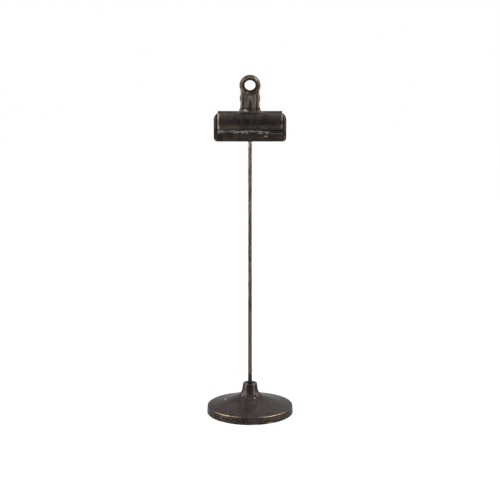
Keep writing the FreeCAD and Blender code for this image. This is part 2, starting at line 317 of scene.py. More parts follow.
def patina(g, vector, pair, wear, worn, rough, grain, edge_tint, crust, speck):
    """Dark chemical finish on metal.

    It is mottled between the pair's two colours, with speckle, flecks and pits. Wear brings the
    worn metal's colour and more gloss, and crust takes the metal's shine away.
    """
    cloud = g.noise(vector, 45.0, 3.0, 0.55)
    mottle = g.noise(vector, 210.0, 4.0, 0.62)
    speckle = g.noise(vector, 560.0, 3.0, 0.7)
    pits = g.noise(vector, 520.0, 4.0, 0.65)
    blend = g.step(g.plus(g.times(cloud, 0.55), g.times(mottle, 0.45)), 0.40, 0.60)
    light = g.times(g.step(speckle, 0.50, 0.68), g.times(speck, 0.5))
    dark = g.times(g.step(speckle, 0.47, 0.32), g.times(speck, 0.6))
    fleck = g.times(g.step(g.voronoi(vector, 330.0), 0.10, 0.05), g.step(mottle, 0.50, 0.62))

    color = g.mix(blend, *pair)
    color = g.mix(light, color, LIGHT_SPECK)
    color = g.mix(dark, color, DARK_SPECK)
    color = g.mix(g.times(fleck, 0.6), color, PALE_FLECK)
    color = g.mix(wear, color, worn)

    roughness = g.plus(rough, g.times(g.minus(mottle, 0.44), grain, 0.12))
    roughness = g.minus(roughness, g.times(wear, 0.08))
    roughness = g.plus(roughness, g.times(crust, 0.2))
    metal = g.minus(g.plus(0.88, g.times(wear, 0.1)), g.times(crust, 0.75))
    height = g.plus(g.times(speckle, 0.3), pits)
    normal = g.bump(height, g.times(grain, 0.22), 0.00025)
    g.surface(color, roughness, metal, normal, edge_tint)


# Base: its top is one smooth sweep from the rim to the collar
RIM_Z = 6.5
RIM_R = BASE_R - 0.45            # the rim's wall leans in by this much
RIM_EDGE = (RIM_R - 0.2, RIM_Z - 0.05)
CONE_MID = (22.0, 9.7)           # corners of the sweep before rounding, as (radius, z)
COLLAR_FOOT = (7.4, 16.2)
COLLAR_TOP_R = 6.0
MOUTH_R = SHOULDER_R + 0.65      # free ring round the shoulder in the collar's mouth
BORE_R = ROD_R + 0.02
POCKET_R = 8.0                   # pocket for the nut in the middle of the recess
POCKET_Z = 6.0
RECESS_R = BASE_R - 3.6          # inside of the ring that rests on the table
RECESS_Z = 3.1


def base_form():
    profile = rounded([
        (BASE_R, 0.0, 0.4), (RIM_R, RIM_Z, 0.6), (*CONE_MID, 90.0), (*COLLAR_FOOT, 8.5),
        (COLLAR_TOP_R, COLLAR_Z, 1.0), (MOUTH_R, COLLAR_Z, 0.25),
        (MOUTH_R, SHOULDER_FOOT, 0), (BORE_R, SHOULDER_FOOT, 0),
        (BORE_R, POCKET_Z, 0), (POCKET_R, POCKET_Z, 0.4), (POCKET_R, RECESS_Z, 0.4),
        (RECESS_R, RECESS_Z, 1.0), (RECESS_R, 0.0, 0.3)])
    obj = lathe("base_casting_form", profile, 192, True)
    smooth(obj, 35)
    return obj


# Marks on the base, in metres, and its colours: a mottle's dark and light one, and the worn metal
STREAK_AT = (0.0170, -0.0330, 0.0008)
CHIP_AT = (-0.0211, 0.0020, 0.0099)
SMALL_CHIP_AT = (0.0040, -0.0095, 0.0148)
CAST_TOP = ((0.032, 0.0240, 0.0235), (0.059, 0.0455, 0.0445))
# the rim wall's pair is painted shade: darker than the top's, as the wall faces the dark side of the room
CAST_WALL_SHADE = ((0.024, 0.0175, 0.0152), (0.036, 0.0275, 0.0243))
CAST_COLLAR = ((0.032, 0.0235, 0.0220), (0.038, 0.0280, 0.0265))
CAST_LIP = ((0.110, 0.104, 0.096), (0.145, 0.138, 0.128))
CAST_CHIP = ((0.42, 0.40, 0.37), (0.46, 0.44, 0.41))
CAST_WORN = (0.52, 0.37, 0.22)


def rim_wear(g, x, z, ragged):
    """Worn line along the rim's edge, strongest to the left and right of the front."""
    radius = g.length(x, g.split(g.obj)[1])
    fine = g.noise(g.obj, 700.0, 2.0, 0.6)
    away = g.length(g.minus(radius, RIM_EDGE[0] * MM), g.minus(z, RIM_EDGE[1] * MM))
    away = g.plus(away, g.plus(g.times(ragged, 0.0005), g.times(fine, 0.0004)))
    across = g.size(x)
    side = g.times(g.step(across, 0.005, 0.011), g.step(across, 0.0315, 0.0245), 0.42)
    return g.times(g.step(away, 0.00115, 0.00065), side, g.step(ragged, 0.30, 0.52))


def cast_patina():
    material, g = new_material("cast_patina")
    x, _, z = g.split(g.obj)
    ragged = g.noise(g.obj, 160.0, 3.0, 0.6)
    # the rim's wall below its edge, which gets the painted shade
    wall = g.step(z, 0.0064, 0.0056)
    collar = g.step(z, 0.0125, 0.0165)

    foot = g.times(g.step(z, 0.0010, 0.0003), g.step(g.noise(g.obj, 55.0, 2.0), 0.50, 0.60))
    lip = g.times(g.near(z, (COLLAR_Z - 0.3) * MM, 0.0001, 0.0005), g.step(ragged, 0.42, 0.62))
    streak = g.times(g.spot(g.obj, STREAK_AT, 0.0040), g.step(z, 0.0018, 0.0006))
    chips = g.most(g.spot(g.obj, CHIP_AT, 0.0020), g.times(g.spot(g.obj, SMALL_CHIP_AT, 0.0011), 0.6))
    rim = rim_wear(g, x, z, ragged)
    wear = g.most(rim, g.times(foot, 0.45), g.times(lip, 0.10), g.times(streak, 0.5))

    pair = g.tint(wall, CAST_TOP, CAST_WALL_SHADE)
    pair = g.tint(collar, pair, CAST_COLLAR)
    pair = g.tint(g.times(lip, 0.5), pair, CAST_LIP)
    pair = g.tint(chips, pair, CAST_CHIP)
    rough = g.minus(0.38, g.times(g.step(z, 0.0180, 0.0225), 0.08))
    grain = g.minus(1.5, g.times(collar, 1.3))
    speck = g.minus(0.9, g.times(collar, 0.75))
    patina(g, g.obj, pair, wear, CAST_WORN, rough=rough, grain=grain, edge_tint=0.66,
           crust=g.times(chips, 0.6), speck=speck)
    return material


base = base_form()
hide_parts("base_casting")
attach(base, "stand")
base.data.materials.append(cast_patina())


# Rod: worked by hand, so it isn't quite even
EVEN_TOP = ROD_TOP - 4           # above this height, behind the clip, it is even
THIN_Z = 172.0                   # where the rod is thinnest
KNOT_Z = 36.8                    # a small lump on its right side
ROD_ROWS = 260
TAPER_ROWS = 6


def swell(z, middle, width):
    return math.exp(-((z - middle) / width) ** 2)


def rod_wobble(a, z, r):
    """How far the rod's surface stands out of its nominal radius, in millimetres."""
    if r < 0.5 or z > EVEN_TOP or z < SHOULDER_TOP:
        return 0
    p = Vector((math.cos(a) * 0.8, math.sin(a) * 0.8, z * 0.11))
    dent = (noise.noise(p) - 0.1) * 0.07
    thick = 0.12 * swell(z, SHOULDER_TOP, 60.0)
    thin = 0.10 * swell(z, THIN_Z, 16.0)
    knot = 0.42 * swell(z, KNOT_Z, 0.7) * max(0.0, math.cos(a)) ** 4
    return dent + knot + thick - thin


def rod_form():
    neck = SHOULDER_TOP + SHOULDER_TAPER
    ring_r = SHOULDER_R - 0.04
    profile = [(0, ROD_END), (ROD_R - 0.3, ROD_END), (ROD_R, ROD_END + 0.3),
               (ROD_R, SHOULDER_FOOT + 0.01), (SHOULDER_R, SHOULDER_FOOT + 0.02),
               (SHOULDER_R, SHOULDER_TOP - 0.3), (ring_r, SHOULDER_TOP)]
    for k in range(1, TAPER_ROWS + 1):
        share = k / TAPER_ROWS
        radius = ROD_R + (ring_r - ROD_R) * (1 - share) ** 1.6
        profile.append((radius, SHOULDER_TOP + SHOULDER_TAPER * share))
    run = ROD_TOP - 0.2 - neck
    profile += [(ROD_R, neck + run * k / ROD_ROWS) for k in range(1, ROD_ROWS + 1)]
    profile += [(ROD_R - 0.15, ROD_TOP), (0, ROD_TOP)]
    obj = lathe("rod_form", profile, 40, False, rod_wobble)
    smooth(obj, 35)
    return obj


# Colours of the rod
ROD_MOTTLE = ((0.054, 0.040, 0.031), (0.135, 0.100, 0.074))
ROD_STREAK = (0.27, 0.205, 0.150)
ROD_FLECK = (0.022, 0.018, 0.016)
ROD_LOW = (0.064, 0.049, 0.028)
ROD_FOOT = (0.028, 0.0245, 0.021)
ROD_TIP = (0.52, 0.42, 0.33)


def rod_steel():
    material, g = new_material("rod_steel")
    x, _, z = g.split(g.obj)
    streak = g.noise(g.stretch(g.obj, (1.0, 1.0, 0.10)), 900.0, 3.0, 0.6)
    patch = g.noise(g.stretch(g.obj, (1.0, 1.0, 0.45)), 150.0, 3.0, 0.6)
    fleck = g.noise(g.obj, 620.0, 3.0, 0.65)
    low = g.step(z, 0.150, 0.060)
    foot = g.step(z, 0.0365, 0.0330)
    tip = g.times(g.step(z, 0.2290, 0.2325), g.step(fleck, 0.38, 0.55), g.step(x, 0.0008, -0.0003))

    color = g.mix(g.step(patch, 0.38, 0.62), *ROD_MOTTLE)
    color = g.mix(g.times(g.step(streak, 0.48, 0.66), 0.45), color, ROD_STREAK)
    color = g.mix(g.times(g.step(fleck, 0.56, 0.68), 0.6), color, ROD_FLECK)
    color = g.mix(g.times(low, 0.38), color, ROD_LOW)
    color = g.mix(foot, color, ROD_FOOT)
    color = g.mix(g.times(tip, 0.8), color, ROD_TIP)
    rough = g.plus(0.26, g.times(patch, 0.18))
    g.surface(color, rough, 0.92, g.bump(g.plus(streak, patch), 0.25, 0.0002), 0.75)
    return material


rod = rod_form()
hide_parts("rod")
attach(rod, "stand")
rod.data.materials.append(rod_steel())


# Clip plates: one stamping, bent outwards above the jaws, with beads pressed into its handle
JAW_H = 24.0                     # height of the flat jaw up to its shoulders
JAW_CORNER = 3.2
SHOULDER_CORNER = 6.0
NECK_RISE = 0.6                  # straight piece between the shoulders and the bend
BEND_R = 2.8                     # outer radius of the bend, the side on which the plates roll
BEND_MID = BEND_R - SHEET / 2
LEAN = math.radians(17.5)        # how far each handle leans outwards
S_BEND = JAW_H + NECK_RISE       # s runs up the sheet from the jaw's edge
S_HANDLE = S_BEND + BEND_MID * LEAN

FOOT_HALF = 9.15                 # half the handle's width where it starts
FOOT_CORNER = 0.45
FLARE = 7.0                      # height over which the handle narrows to its neck
NECK_HALF = 7.6
LUG_LOW = 7.2                    # heights between which the side lugs stand out
LUG_HIGH = 14.3
LUG_OUT = 0.8                    # how far the side lugs stand out of the neck
RING_FILLET = 6.0                # radius between the neck and the ring
RING_V = 22.1                    # centre of the hole; v runs up the handle from its bend
RING_S = S_HANDLE + RING_V
RING_R = 8.55
HOLE_R = 4.6

# Beads and ribs: their height, half their width, and where they run
BEAD_H = 0.7
RIB_H = 0.5
RING_MID = (RING_R + HOLE_R) / 2
RING_BEAD_W = 2.0
SIDE_BEAD_W = 1.75
SIDE_X = NECK_HALF - 1.7         # middle of the side beads at their top
SIDE_SPLAY = 0.5                 # how far they spread at their foot
SIDE_LOW = 2.6                   # height above the bend at which they begin
RIB_W = 1.15
RIB_FOOT = (2.9, 1.8)            # lower and upper end of a rib, as (x, v)
RIB_APEX = (0.4, 15.2)


def sheet_point(s, lift):
    """(y, z) of a point of the front sheet: s along it, lift outwards from its middle."""
    if s <= S_BEND:
        y, z, ny, nz = -HALF_GAP - SHEET / 2, JAW_Z + s, -1.0, 0.0
    else:
        a = min((s - S_BEND) / BEND_MID, LEAN)
        past = max(0.0, s - S_HANDLE)
        y = -HALF_GAP - BEND_R + BEND_MID * math.cos(a) - past * math.sin(a)
        z = JAW_Z + S_BEND + BEND_MID * math.sin(a) + past * math.cos(a)
        ny, nz = -math.cos(a), -math.sin(a)
    return y + ny * lift, z + nz * lift


def arc(centre, radius, start, end, n):
    """Points on an arc between two angles, without the first."""
    cx, cy = centre
    angles = [start + (end - start) * k / n for k in range(1, n + 1)]
    return [(cx + radius * math.cos(a), cy + radius * math.sin(a)) for a in angles]


def bow(p0, p1, out, n):
    """Points on a shallow arc between two points, bulging by out to the right, without the first."""
    (x0, y0), (x1, y1) = p0, p1
    shares = [k / n for k in range(1, n + 1)]
    return [(x0 + (x1 - x0) * t + out * 4 * t * (1 - t), y0 + (y1 - y0) * t) for t in shares]


def straight(p0, p1, n):
    """Points on a line between two points, without the first."""
    (x0, y0), (x1, y1) = p0, p1
    return [(x0 + (x1 - x0) * k / n, y0 + (y1 - y0) * k / n) for k in range(1, n + 1)]


def right_side():
    """Right half of the blank's outline from the jaw's edge up to the ring's top, as (x, s)."""
    half, r, big = JAW_HALF, JAW_CORNER, SHOULDER_CORNER
    foot_x = FOOT_HALF + FOOT_CORNER
    pts = [(0.0, 0.0)]
    pts += straight(pts[-1], (half - r, 0.0), 20)
    pts += arc((half - r, r), r, -math.pi / 2, 0.0, 12)
    pts += straight(pts[-1], (half, JAW_H - big), 10)
    pts += arc((half - big, JAW_H - big), big, 0.0, math.pi / 2, 16)
    pts += straight(pts[-1], (foot_x, JAW_H), 14)
    pts += arc((foot_x, JAW_H + FOOT_CORNER), FOOT_CORNER, -math.pi / 2, -math.pi, 4)
    pts += straight(pts[-1], (FOOT_HALF, S_HANDLE), 6)
    pts += bow(pts[-1], (NECK_HALF, S_HANDLE + FLARE), (NECK_HALF - FOOT_HALF) * 0.25, 12)
    pts += bow((NECK_HALF, S_HANDLE + LUG_LOW), (NECK_HALF, S_HANDLE + LUG_HIGH), LUG_OUT, 18)
    drop = math.sqrt((RING_R + RING_FILLET) ** 2 - (NECK_HALF + RING_FILLET) ** 2)
    hollow = (NECK_HALF + RING_FILLET, RING_S - drop)
    pts += straight(pts[-1], (NECK_HALF, RING_S - drop), 4)
    touch = math.atan2(drop, -hollow[0])
    pts += arc(hollow, RING_FILLET, math.pi, touch, 6)
    pts += arc((0.0, RING_S), RING_R, touch - math.pi, math.pi / 2, 46)
    return pts


def inside(poly, x, y):
    hit = False
    for i in range(len(poly)):
        x0, y0 = poly[i - 1]
        x1, y1 = poly[i]
        if (y0 > y) != (y1 > y) and x < (x1 - x0) * (y - y0) / (y1 - y0) + x0:
            hit = not hit
    return hit


def to_segment(x, y, a, b):
    """Distance of a point from the segment between a and b."""
    ax, ay = a
    dx, dy = b[0] - ax, b[1] - ay
    t = max(0.0, min(1.0, ((x - ax) * dx + (y - ay) * dy) / (dx * dx + dy * dy)))
    return math.hypot(x - ax - t * dx, y - ay - t * dy)


def crest(distance, width):
    """Round section of a pressed bead: 1 on its middle line, 0 from width on."""
    if distance >= width:
        return 0.0
    return 0.5 + 0.5 * math.cos(math.pi * distance / width)


def relief(x, s):
    """Height of the pressed beads and ribs, and how near a point is to the top of one."""
    v = s - S_HANDLE
    if v < 0.3:
        return 0.0, 0.0
    from_ring = math.hypot(x, v - RING_V)
    ring = crest(abs(from_ring - RING_MID), RING_BEAD_W)
    side = rib = 0.0
    if from_ring >= RING_MID:
        join = RING_V - math.sqrt(RING_MID**2 - SIDE_X**2)
        for k in (1, -1):
            from_side = to_segment(x, v, (k * (SIDE_X + SIDE_SPLAY), SIDE_LOW), (k * SIDE_X, join))
            from_rib = to_segment(x, v, (k * RIB_FOOT[0], RIB_FOOT[1]), (k * RIB_APEX[0], RIB_APEX[1]))
            side = max(side, crest(from_side, SIDE_BEAD_W))
            rib = max(rib, crest(from_rib, RIB_W))
    return max(ring * BEAD_H, side * BEAD_H, rib * RIB_H), max(ring, side, rib * 0.75)


def grid_points():
    """Points in the blank: rings round the hole, a fine net over the neck and a coarse one over the jaw."""
    pts = []
    for j in range(1, 10):
        r = HOLE_R + (RING_R - HOLE_R) * j / 10
        turns = [2 * math.pi * (k + 0.5 * (j % 2)) / 96 for k in range(96)]
        pts += [(r * math.cos(a), RING_S + r * math.sin(a)) for a in turns]
    fine, bend, coarse = 0.40, 0.8, 2.0
    for i in range(1, int(RING_V / fine)):
        s = S_HANDLE + fine * i
        row = [((k + 0.5 * (i % 2)) * fine, s) for k in range(-24, 25)]
        pts += [p for p in row if math.hypot(p[0], s - RING_S) > RING_R + 0.2]
    for k in range(5):
        s = S_BEND + (S_HANDLE - S_BEND) * k / 5
        pts += [(i * bend, s) for i in range(-11, 12)]
    for k in range(1, 12):
        pts += [(i * coarse, k * coarse) for i in range(-15, 16)]
    return pts


def blank_net(outline):
    """Points and triangles of the flat blank, with its hole."""
    turns = [2 * math.pi * k / 80 for k in range(80)]
    hole = [(HOLE_R * math.cos(a), RING_S + HOLE_R * math.sin(a)) for a in turns]
    kept = []
    for x, s in grid_points():
        if inside(outline, x, s) and math.hypot(x, s - RING_S) > HOLE_R + 0.1:
            if min(abs(x - ex) + abs(s - es) for ex, es in outline) > 0.16:
                kept.append((x, s))
    n, m = len(outline), len(hole)
    edges = [(i, (i + 1) % n) for i in range(n)] + [(n + i, n + (i + 1) % m) for i in range(m)]
    points = [Vector(p) for p in outline + hole + kept]
    points, _, triangles, _, _, _ = delaunay_2d_cdt(points, edges, [], 0, 1e-6)
    faces = []
    for tri in triangles:
        x = sum(points[i].x for i in tri) / 3
        s = sum(points[i].y for i in tri) / 3
        if inside(outline, x, s) and math.hypot(x, s - RING_S) > HOLE_R - 0.01:
            faces.append(tuple(tri))
    return points, faces


def plate_form(name, sign):
    """One bent and pressed plate; it carries its flat layout, crests and distance from its rim."""
    right = right_side()
    outline = right + [(-x, s) for x, s in reversed(right[1:-1])]
    points, faces = blank_net(outline)
    verts, tops, rims, flat = [], [], [], []
    for p in points:
        lift, top = relief(p.x, p.y)
        y, z = sheet_point(p.y, lift)
        verts.append((p.x, CLIP_Y + (y if sign < 0 else -y), z))
        tops.append(top)
        from_rim = min(to_segment(p.x, p.y, outline[i - 1], outline[i]) for i in range(len(outline)))
        rims.append(from_rim * MM)
        flat += [p.x * MM, (p.y - S_HANDLE) * MM, 0.0]
    mesh = mesh_from(name, verts, faces)
    mesh.attributes.new("crest", "FLOAT", "POINT").data.foreach_set("value", tops)
    mesh.attributes.new("rim", "FLOAT", "POINT").data.foreach_set("value", rims)
    mesh.attributes.new("flat", "FLOAT_VECTOR", "POINT").data.foreach_set("vector", flat)
    clean_mesh(mesh)
    obj = new_object(name, mesh)
    thicken(obj, edge_width=0.14, segments=2)
    smooth(obj, 50)
    return obj


# Marks and painted highlights on the front plate, in metres: places on the flat blank, and the scuff's in
# space, with x drawn in
GREEN_HIGHLIGHT_AT = (-0.0024, 0.0162, 0.0)
RESIDUE_HIGHLIGHT_AT = (-0.0037, 0.0004, 0.0)
BRASS_GLINT_AT = ((0.0042, 0.0284, 0.0), (0.0053, 0.0272, 0.0))
SCUFF_STRETCH = (0.4, 1.0, 1.0)
SCUFF_AT = (0.00524, -0.0033, 0.2387)

# Colours of the clip: a mottle's dark and light one, and the worn metal
CLIP_JAW = ((0.046, 0.0360, 0.0320), (0.080, 0.0640, 0.0560))
CLIP_HANDLE = ((0.040, 0.0330, 0.0295), (0.140, 0.1170, 0.1020))
# the foot's pair is painted light: paler, to lift the shade where the handle meets the barrel
CLIP_FOOT_LIGHTENED = ((0.085, 0.0760, 0.0710), (0.150, 0.1350, 0.1250))
CLIP_SHADE = ((0.020, 0.0145, 0.0125), (0.050, 0.0330, 0.0270))
# the ribs' crests: rubbed lighter, and also a painted highlight
CLIP_RIB_WEAR_AND_HIGHLIGHT = ((0.120, 0.098, 0.080), (0.250, 0.205, 0.170))
# pale pair: painted highlights on the bead slopes and under the ring, and the jaw's scuff
CLIP_PALE = ((0.20, 0.195, 0.185), (0.34, 0.335, 0.320))
# a whitish-green stain on the front handle's foot, which is also painted light there
CLIP_RESIDUE_HIGHLIGHT = ((0.50, 0.53, 0.48), (0.62, 0.66, 0.60))
# a painted highlight in a brassy colour, high on the ring's right side
CLIP_BRASS_GLINT = ((0.62, 0.48, 0.27), (0.84, 0.68, 0.41))
CLIP_WORN = (0.50, 0.37, 0.26)


def clip_places(g):
    """Where a point of the clip lies on the flat blank, and the noise that frays its marks."""
    flat = g.attribute("flat", "Vector")
    x, v, _ = g.split(flat)
    handle = g.step(v, -0.0013, -0.0005)
    return SimpleNamespace(
        flat=flat, x=x, v=v, handle=handle, across=g.size(x), jaw=g.minus(1.0, handle),
        neck=g.times(handle, g.step(v, 0.0150, 0.0130)),
        foot=g.step(v, 0.0022, 0.0008),
        from_ring=g.length(x, g.minus(v, RING_V * MM)),
        rightward=g.step(x, -0.002, 0.002),
        front=g.step(g.split(g.obj)[1], (CLIP_Y + 0.2) * MM, (CLIP_Y - 0.2) * MM),
        top=g.attribute("crest"), rim=g.attribute("rim"),
        ragged=g.noise(g.obj, 190.0, 3.0, 0.6), fine=g.noise(g.obj, 650.0, 3.0, 0.6))


def clip_wear_and_highlight(g, at):
    """Bare metal: lines in the ears, the jaw's edge and the neck's sides; on the ring's outside, wear with
    a painted highlight on its left side and top.
    """
    line = g.times(g.near(at.rim, 0.0011, 0.0002, 0.0006), g.step(at.ragged, 0.40, 0.60))
    share = g.plus(0.28, g.times(at.rightward, 0.24))
    ears = g.times(at.jaw, g.step(at.across, 0.0262, 0.0280), line, share)
    jaw_edge = g.times(at.jaw, g.step(at.rim, 0.0007, 0.0002), g.step(at.ragged, 0.46, 0.62), 0.30)

    sides = g.times(at.handle, g.step(at.v, 0.0185, 0.0165), g.step(at.across, 0.0060, 0.0070))
    frayed = g.times(g.step(at.rim, 0.0002, 0.0006), g.step(at.fine, 0.24, 0.52))
    strip = g.times(sides, frayed, g.plus(0.80, g.times(at.rightward, -0.24)))

    # the ring's outside: worn, with a painted highlight on its left side and top
    ring_wear_and_highlight = g.times(g.near(at.from_ring, 0.0075, 0.0006, 0.0007), g.step(at.v, 0.0150, 0.0190))
    above = g.times(g.step(at.v, 0.0235, 0.0260), 0.6)
    lit_side = g.most(g.step(at.x, -0.0010, -0.0040), above, 0.15)
    frayed = g.step(g.plus(at.ragged, g.times(at.fine, 0.35)), 0.46, 0.74)
    return g.most(ears, jaw_edge, strip, g.times(ring_wear_and_highlight, lit_side, frayed, 0.80))


def clip_shade(g, at):
    """Painted shade: on the side beads, in the ring, between the ribs and under the ring."""
    bead = g.times(at.neck, g.near(at.across, 0.0056, 0.0003, 0.0006), 0.85)
    over_hole = g.times(g.step(at.from_ring, 0.0076, 0.0065), g.step(at.v, 0.0262, 0.0276))
    hollow = g.times(at.handle, g.most(g.step(at.from_ring, 0.0071, 0.0060), over_hole))
    groove = g.times(at.neck, g.near(at.x, 0.0003, 0.0006, 0.0008), g.step(at.v, 0.0105, 0.0080))
    under = g.times(g.step(at.v, 0.0185, 0.0165), g.step(at.v, 0.0125, 0.0140))
    chin = g.times(g.near(at.from_ring, 0.0070, 0.0012, 0.0010), under, 0.8)
    return g.most(bead, hollow, groove, chin)


def clip_pale(g, at):
    """Pale marks: painted highlights on the inner slopes of the side beads and on a spot under the ring,
    and a scuff on the jaw.
    """
    slope_highlight = g.times(at.neck, g.near(at.across, 0.0043, 0.0002, 0.0009), g.step(at.fine, 0.30, 0.60))
    # a spot under the ring lit as a painted highlight, where the bead's slope faces up
    green = g.times(g.spot(at.flat, GREEN_HIGHLIGHT_AT, 0.0018), at.front)
    scuff = g.times(g.spot(g.stretch(g.obj, SCUFF_STRETCH), SCUFF_AT, 0.0010), at.front)
    return g.most(g.times(slope_highlight, 0.62), g.times(green, 0.4), g.times(scuff, 0.8))


def clip_patina():
    material, g = new_material("clip_patina")
    at = clip_places(g)
    # painted light on the handle's foot where it meets the barrel; it is also made duller and less metallic
    # there
    foot = g.times(at.foot, at.handle)
    # rib crests lighter: rubbed, and a painted highlight in place of the light on their relief
    rib = g.times(at.neck, g.step(at.top, 0.35, 0.70), g.step(at.across, 0.0046, 0.0038))
    pale = clip_pale(g, at)
    # a whitish-green stain on the foot that is also a painted highlight, lifting the shade there
    residue_and_highlight = g.times(g.spot(at.flat, RESIDUE_HIGHLIGHT_AT, 0.0026), at.foot, at.front)
    # painted highlight: a brassy glint on the ring's upper right
    brass_glint = g.times(g.most(*[g.spot(at.flat, place, 0.0010) for place in BRASS_GLINT_AT]), at.front)

    pair = g.tint(at.handle, CLIP_JAW, CLIP_HANDLE)
    pair = g.tint(foot, pair, CLIP_FOOT_LIGHTENED)
    dark, light = g.tint(clip_shade(g, at), pair, CLIP_SHADE)
    pair = (g.mix(g.times(rib, 0.5), dark, CLIP_RIB_WEAR_AND_HIGHLIGHT[0]), g.mix(g.times(rib, 0.7), light, CLIP_RIB_WEAR_AND_HIGHLIGHT[1]))
    pair = g.tint(pale, pair, CLIP_PALE)
    pair = g.tint(residue_and_highlight, pair, CLIP_RESIDUE_HIGHLIGHT)
    pair = g.tint(brass_glint, pair, CLIP_BRASS_GLINT)
    crust = g.most(g.times(foot, 0.7), g.times(pale, 0.5), residue_and_highlight, g.times(brass_glint, 0.7))
    patina(g, g.obj, pair, clip_wear_and_highlight(g, at), CLIP_WORN, rough=0.31, grain=1.0, edge_tint=0.42,
           crust=crust, speck=0.6)
    return material


clip_finish = clip_patina()
for plate_name, node, body, sign in (("front_plate_form", "front_plate", "front_jaw", -1),
                                     ("rear_plate_form", "rear_plate", "stand", 1)):
    plate = plate_form(plate_name, sign)
    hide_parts(node)
    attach(plate, body)
    plate.data.materials.append(clip_finish)


# Barrel: one sheet, rolled, with a lip at each edge and a slot for the handles
LIP_BEND_R = 1.3                 # middle radius of the bend between barrel and lip
LIP_CLEARANCE = 0.03
SLOT_X = 9.65                    # half the slot's length
SLOT_Y = 1.8                     # half its width


def barrel_section():
    """Middle line of the rolled sheet from lip to lip over the top, and where in it the slot starts."""
    middle = BARREL_R - SHEET / 2
    lip_y = HALF_GAP + SHEET + LIP_CLEARANCE + SHEET / 2
    bend_y = lip_y + LIP_BEND_R
    down = math.sqrt((middle + LIP_BEND_R) ** 2 - bend_y**2)
    half = math.atan2(bend_y, down)
    bend_low = BARREL_Z - down
    slot_angle = math.asin(SLOT_Y / middle)
    lip_steps, bend_steps, side_steps, top_steps = 3, 8, 48, 8
    pts = [(-lip_y, LIP_TOE + (bend_low - LIP_TOE) * k / lip_steps) for k in range(lip_steps)]
    for k in range(bend_steps + 1):
        a = math.pi / 2 + (half - math.pi / 2) * k / bend_steps
        pts.append((-(bend_y - LIP_BEND_R * math.sin(a)), bend_low + LIP_BEND_R * math.cos(a)))
    for k in range(1, side_steps + 1):
        a = half + (math.pi - slot_angle - half) * k / side_steps
        pts.append((-middle * math.sin(a), BARREL_Z - middle * math.cos(a)))
    slot_start = len(pts) - 1
    for k in range(1, top_steps + 1):
        a = math.pi - slot_angle + slot_angle * k / top_steps
        pts.append((-middle * math.sin(a), BARREL_Z - middle * math.cos(a)))
    back = [(-y, z) for y, z in reversed(pts[:-1])]
    return pts + back, slot_start


def barrel_form():
    """The rolled sheet, with its flat layout as UV: u along the barrel, v along the section."""
    section, slot_first = barrel_section()
    slot_last = len(section) - 1 - slot_first
    run = [0.0]
    for p0, p1 in zip(section, section[1:]):
        run.append(run[-1] + math.hypot(p1[0] - p0[0], p1[1] - p0[1]))
    end_steps, slot_steps = 14, 16
    end = BARREL_HALF - SLOT_X
    xs = [-BARREL_HALF + end * k / end_steps for k in range(end_steps)]
    xs += [-SLOT_X + 2 * SLOT_X * k / slot_steps for k in range(slot_steps + 1)]
    xs += [SLOT_X + end * k / end_steps for k in range(1, end_steps + 1)]
    n = len(section)
    verts = [(x, CLIP_Y + y, z) for x in xs for y, z in section]
    faces = []
    for i in range(len(xs) - 1):
        for k in range(n - 1):
            in_slot = slot_first <= k < slot_last and abs((xs[i] + xs[i + 1]) / 2) < SLOT_X
            if not in_slot:
                faces.append((i * n + k, (i + 1) * n + k, (i + 1) * n + k + 1, i * n + k + 1))
    mesh = mesh_from("barrel_form", verts, faces)
    layer = mesh.uv_layers.new(name="sheet")
    for loop in mesh.loops:
        i, k = divmod(loop.vertex_index, n)
        layer.data[loop.index].uv = (xs[i] * MM, run[k] * MM)
    clean_mesh(mesh)
    obj = new_object("barrel_form", mesh)
    thicken(obj, edge_width=0.22, segments=3)
    smooth(obj, 50)
    return obj


# Colours of the barrel: a mottle's dark and light one, and the worn metal
BARREL_SHEET = ((0.0265, 0.0205, 0.0180), (0.050, 0.040, 0.0355))
BARREL_OLIVE = ((0.047, 0.039, 0.024), (0.070, 0.056, 0.036))
# painted light: a paler, dull patch on the barrel's top in front of the handles, against their shade
BARREL_PAINTED_LIGHT = ((0.100, 0.088, 0.082), (0.130, 0.114, 0.106))
# grey-green strokes: a deposit, and also painted light in the crevice over the lip
BARREL_GREEN = ((0.21, 0.223, 0.195), (0.31, 0.327, 0.290))
BARREL_RUBBED = (0.085, 0.070, 0.060)
BARREL_WORN = (0.56, 0.44, 0.33)


def barrel_wear(g, u, v, ragged):
    """Bare metal along the two ends of the roll and on a stretch of the front lip."""
    above = g.times(g.step(v, 0.0058, 0.0076), g.step(v, 0.0218, 0.0192))
    left = g.times(g.step(u, -0.0252, -0.0260), g.step(ragged, 0.18, 0.40), 0.72)
    right = g.times(g.step(u, 0.0257, 0.0263), g.step(ragged, 0.36, 0.55), 0.5)
    toe = g.times(g.step(v, 0.0011, 0.0003), g.step(u, 0.0165, 0.0185), 0.22)
    return g.most(g.times(g.most(left, right), above), toe)


def green_strokes(g, uv, u, v):
    """Strokes of grey-green deposit, in a wavy line along the crevice over the front lip; they are also
    painted light over the crevice's shade.
    """
    drift = g.times(g.minus(g.noise(uv, 95.0, 2.0), 0.5), 0.0075)
    wave = g.plus(g.plus(v, drift), g.times(u, 0.055))
    curl = g.noise(g.stretch(uv, (0.55, 1.0, 1.0)), 250.0, 1.5, 0.5)
    strokes = g.most(g.near(curl, 0.50, 0.026, 0.040), g.step(curl, 0.60, 0.65), 0.20)
    return g.times(g.near(wave, 0.0023, 0.0014, 0.0012), strokes, g.step(u, 0.0195, 0.0150))


